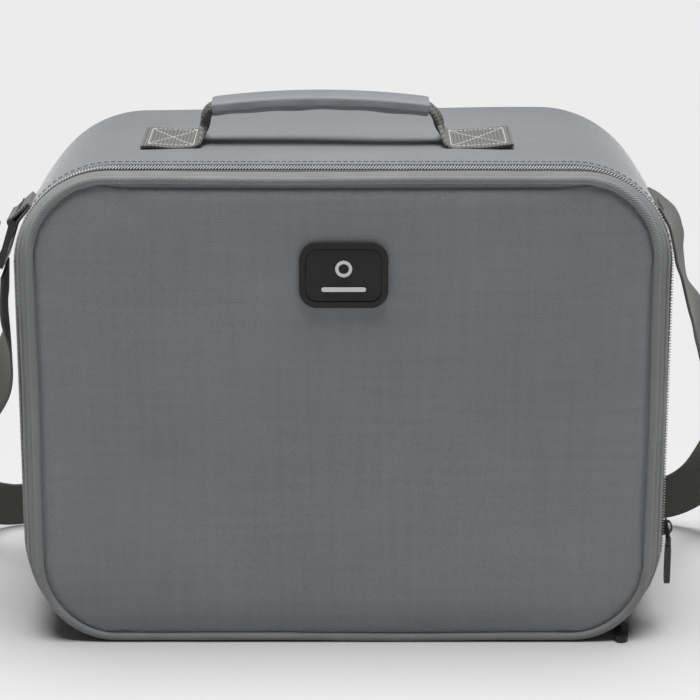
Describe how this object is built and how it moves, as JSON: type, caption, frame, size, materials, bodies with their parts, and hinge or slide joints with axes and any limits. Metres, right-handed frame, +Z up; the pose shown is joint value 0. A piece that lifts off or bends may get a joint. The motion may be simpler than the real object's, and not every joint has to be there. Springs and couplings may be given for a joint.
{
  "type": "padded carrying case",
  "caption": "Soft padded carrying case with a zippered fold-down lid, top carry handle, rubber badge and adjustable shoulder strap.",
  "frame": {"origin": "middle of the flat base that the case stands on", "axes": "+X to the viewer's right when looking at the lid, +Y from the lid towards the back, +Z up"},
  "size_m": [0.4341, 0.1818, 0.2721],
  "materials": {
    "shell_fabric": "matte woven polyester",
    "trim_fabric": "matte woven polyester tape",
    "webbing": "ribbed webbing",
    "lining": "matte nylon",
    "foam": "closed-cell foam",
    "dark_plastic": "moulded, fine satin",
    "dark_metal": "black enamel",
    "zip_nylon": "monofilament coil",
    "badge_rubber": "satin moulded rubber",
    "badge_mark": "matte print",
    "dark_webbing": "ribbed webbing"
  },
  "bodies": {
    "case": {"gusset_shell": "shell_fabric", "back_panel": "shell_fabric", "gusset_foam": "foam", "back_foam": "foam", "gusset_lining": "lining", "back_lining": "lining", "front_edge_binding": "trim_fabric", "back_seam_binding": "trim_fabric", "zip_tape": "trim_fabric", "zip_coil": "zip_nylon", "hinge_strip": "shell_fabric", "lower_slider": "dark_metal", "lower_pull_tab": "dark_metal", "handle_patch_left": "webbing", "handle_patch_right": "webbing", "handle_leg_left": "webbing", "handle_leg_right": "webbing", "handle_backing_left": "webbing", "handle_backing_right": "webbing", "shoulder_strap": "webbing", "strap_tail": "webbing", "strap_tab": "webbing", "strap_adjuster": "dark_plastic", "base_board": "dark_plastic", "floor_loop_strip": "dark_webbing", "back_loop_strip": "dark_webbing", "divider": "lining", "retaining_strap_hook": "dark_webbing", "retaining_strap_loop": "dark_webbing"},
    "lid": {"lid_panel": "shell_fabric", "lid_foam": "foam", "lid_lining": "lining", "lid_piping": "trim_fabric", "lid_band": "trim_fabric", "lid_zip_tape": "trim_fabric", "lid_zip_coil": "zip_nylon", "badge_border": "badge_rubber", "badge_plate": "badge_rubber", "badge_ring_mark": "badge_mark", "badge_bar_mark": "badge_mark", "lid_pocket_mesh": "lining", "lid_pocket_binding": "trim_fabric", "lid_pocket_elastic": "dark_webbing"},
    "handle": {"handle_webbing": "webbing", "grip_foam": "foam", "grip_sleeve": "trim_fabric"},
    "zip_slider": {"zip_slider": "dark_metal"},
    "pull_ring": {"pull_ring": "dark_metal"},
    "pull_tab": {"pull_tab": "dark_metal"}
  },
  "joints": [
    {"name": "lid_hinge", "type": "hinge", "parent": "case", "child": "lid", "pos_m": [0, -0.081, 0.008], "axis": [1, 0, 0], "range_deg": [0, 90]},
    {"name": "handle_swing", "type": "hinge", "parent": "case", "child": "handle", "pos_m": [-0.0105, -0.006, 0.259], "axis": [1, 0, 0], "range_deg": [-70, 70]},
    {"name": "zip_slide", "type": "slide", "parent": "case", "child": "zip_slider", "axis": [0, 0, 1], "range_m": [0, 0.13]},
    {"name": "pull_ring_swing", "type": "hinge", "parent": "zip_slider", "child": "pull_ring", "pos_m": [0.16775, -0.0623, 0.054], "axis": [0, -1, 0], "range_deg": [0, 100]},
    {"name": "pull_tab_swing", "type": "hinge", "parent": "pull_ring", "child": "pull_tab", "pos_m": [0.16775, -0.0623, 0.048], "axis": [0, -1, 0], "range_deg": [0, 80]}
  ]
}
